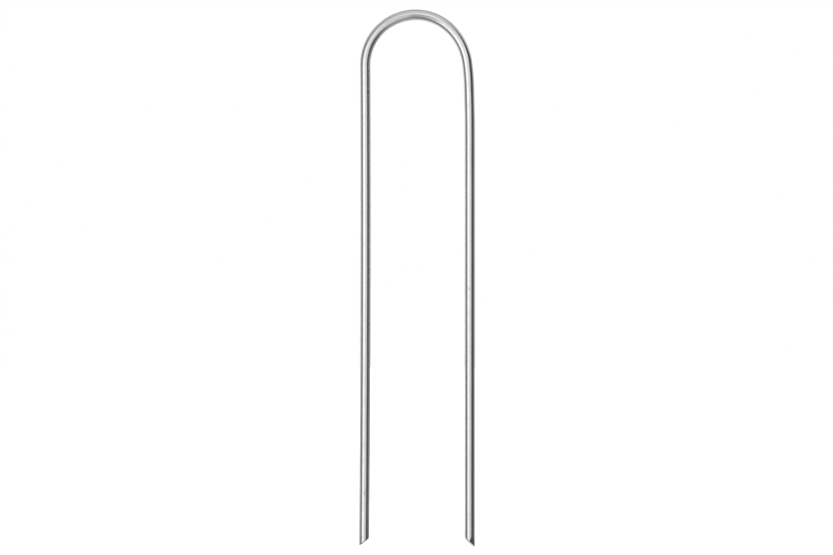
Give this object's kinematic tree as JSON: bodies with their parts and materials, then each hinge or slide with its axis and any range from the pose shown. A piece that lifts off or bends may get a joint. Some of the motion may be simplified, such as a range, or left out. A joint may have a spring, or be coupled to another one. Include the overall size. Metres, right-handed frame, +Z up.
{
  "type": "tent stake",
  "caption": "U-shaped tent stake of bent round steel wire: legs with slant-cut points drive into soil, and the crown holds a guy line or loop down.",
  "frame": {"origin": "on the ground line: level with the centre of the crown's bend, midway between the two tips and in the wire's mid-plane", "axes": "+Z up out of the ground, from the tips to the crown; +X towards the leg on the right in the picture; +Y from the picture's camera to the stake, square to the plane of the wire"},
  "size_m": [0.0498, 0.0044, 0.2299],
  "materials": {
    "zinc_plated_steel": "drawn steel wire with bright zinc plating, semi-gloss, with faint draw lines along the wire"
  },
  "bodies": {
    "root": {"bent_wire": "zinc_plated_steel"}
  },
  "joints": []
}
